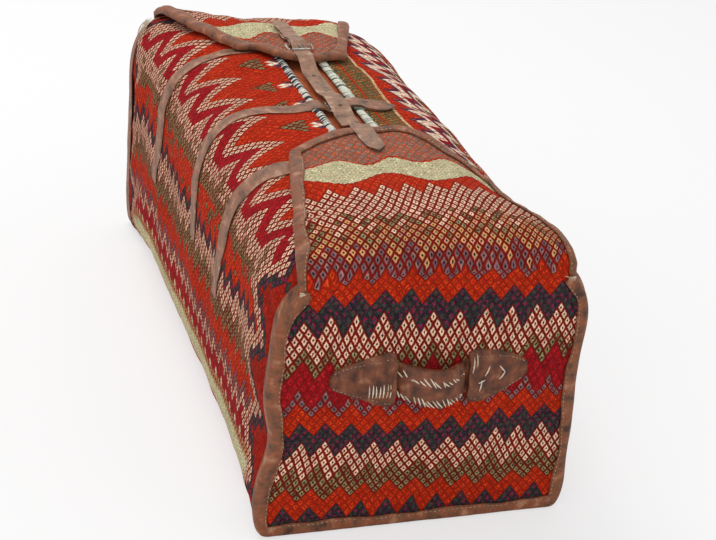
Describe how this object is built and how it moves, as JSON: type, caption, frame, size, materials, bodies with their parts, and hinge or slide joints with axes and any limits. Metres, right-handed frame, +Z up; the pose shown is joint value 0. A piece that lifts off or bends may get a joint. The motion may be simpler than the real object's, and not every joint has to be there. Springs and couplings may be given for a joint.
{
  "type": "kilim bag",
  "caption": "Soft box-shaped flat-woven wool bag with end flaps over a top mouth, leather bindings, buckled straps and end handles.",
  "frame": {"origin": "middle of the bounding box at the base, on the floor", "axes": "+Z up, Y along the bag with the end that faces the picture's camera towards -Y, X across it"},
  "size_m": [0.36, 0.8678, 0.3643],
  "materials": {
    "kilim_cloth": "flat-woven wool with many-coloured zigzag bands, matt",
    "end_kilim_cloth": "flat-woven wool with zigzag bands across, matt",
    "placket_cloth": "plain striped wool, matt",
    "overcast_thread": "close overcast wool stitches",
    "binding_leather": "brown leather, worn and creased",
    "strap_leather": "grey-brown strap leather, worn",
    "buckle_steel": "plain steel wire, dulled"
  },
  "bodies": {
    "bag": {"body_wrap": "kilim_cloth", "mouth_placket": "placket_cloth", "left_lip_edging": "overcast_thread", "right_lip_edging": "overcast_thread", "lid_strap": "strap_leather", "lid_strap_tab": "strap_leather", "main_buckle_frame": "buckle_steel", "near_end_panel": "end_kilim_cloth", "near_panel_binding": "binding_leather", "near_flap_binding": "binding_leather", "near_handle_left_pad": "binding_leather", "near_handle_right_pad": "binding_leather", "near_handle_grip": "binding_leather", "far_end_panel": "end_kilim_cloth", "far_panel_binding": "binding_leather", "far_flap_binding": "binding_leather", "far_handle_left_pad": "binding_leather", "far_handle_right_pad": "binding_leather", "far_handle_grip": "binding_leather", "near_cross_strap": "strap_leather", "near_cross_tab": "strap_leather", "near_cross_buckle": "buckle_steel", "near_cross_prong": "buckle_steel", "middle_cross_strap": "strap_leather", "middle_cross_tab": "strap_leather", "middle_cross_buckle": "buckle_steel", "middle_cross_prong": "buckle_steel", "far_cross_strap": "strap_leather", "far_cross_tab": "strap_leather", "far_cross_buckle": "buckle_steel", "far_cross_prong": "buckle_steel"},
    "prong": {"main_buckle_prong": "buckle_steel"}
  },
  "joints": [
    {"name": "main_buckle_prong_hinge", "type": "hinge", "parent": "bag", "child": "prong", "pos_m": [-0.00595, 0.151, 0.3591], "axis": [-1, 0, 0], "range_deg": [0, 80]}
  ]
}
